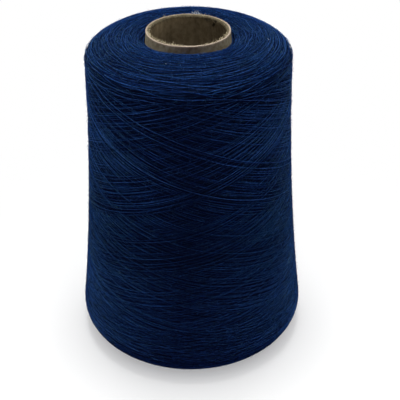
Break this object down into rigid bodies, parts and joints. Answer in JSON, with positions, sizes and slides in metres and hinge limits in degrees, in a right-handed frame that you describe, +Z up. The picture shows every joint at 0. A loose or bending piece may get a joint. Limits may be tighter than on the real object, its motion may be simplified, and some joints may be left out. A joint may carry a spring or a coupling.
{
  "type": "thread cone",
  "caption": "Cross-wound navy thread on a tapered paper cone, with a domed top and an open conical bore for a cone holder.",
  "frame": {"origin": "middle of the wide end of the paper cone, on the surface that it stands on", "axes": "+Z up along the cone's axis towards its narrow nose, +Y to the back"},
  "size_m": [0.1242, 0.1226, 0.17],
  "materials": {
    "paper_liner": "rough brown paper",
    "paper_board": "raw cut board",
    "paper_cover": "smooth grey-brown paper",
    "thread_body": "closely wound thread",
    "thread_outer": "thread with a slight sheen"
  },
  "bodies": {
    "root": {"cone_liner": "paper_liner", "cone_board": "paper_board", "cone_cover": "paper_cover", "wound_body": "thread_body", "outer_thread": "thread_outer"}
  },
  "joints": []
}
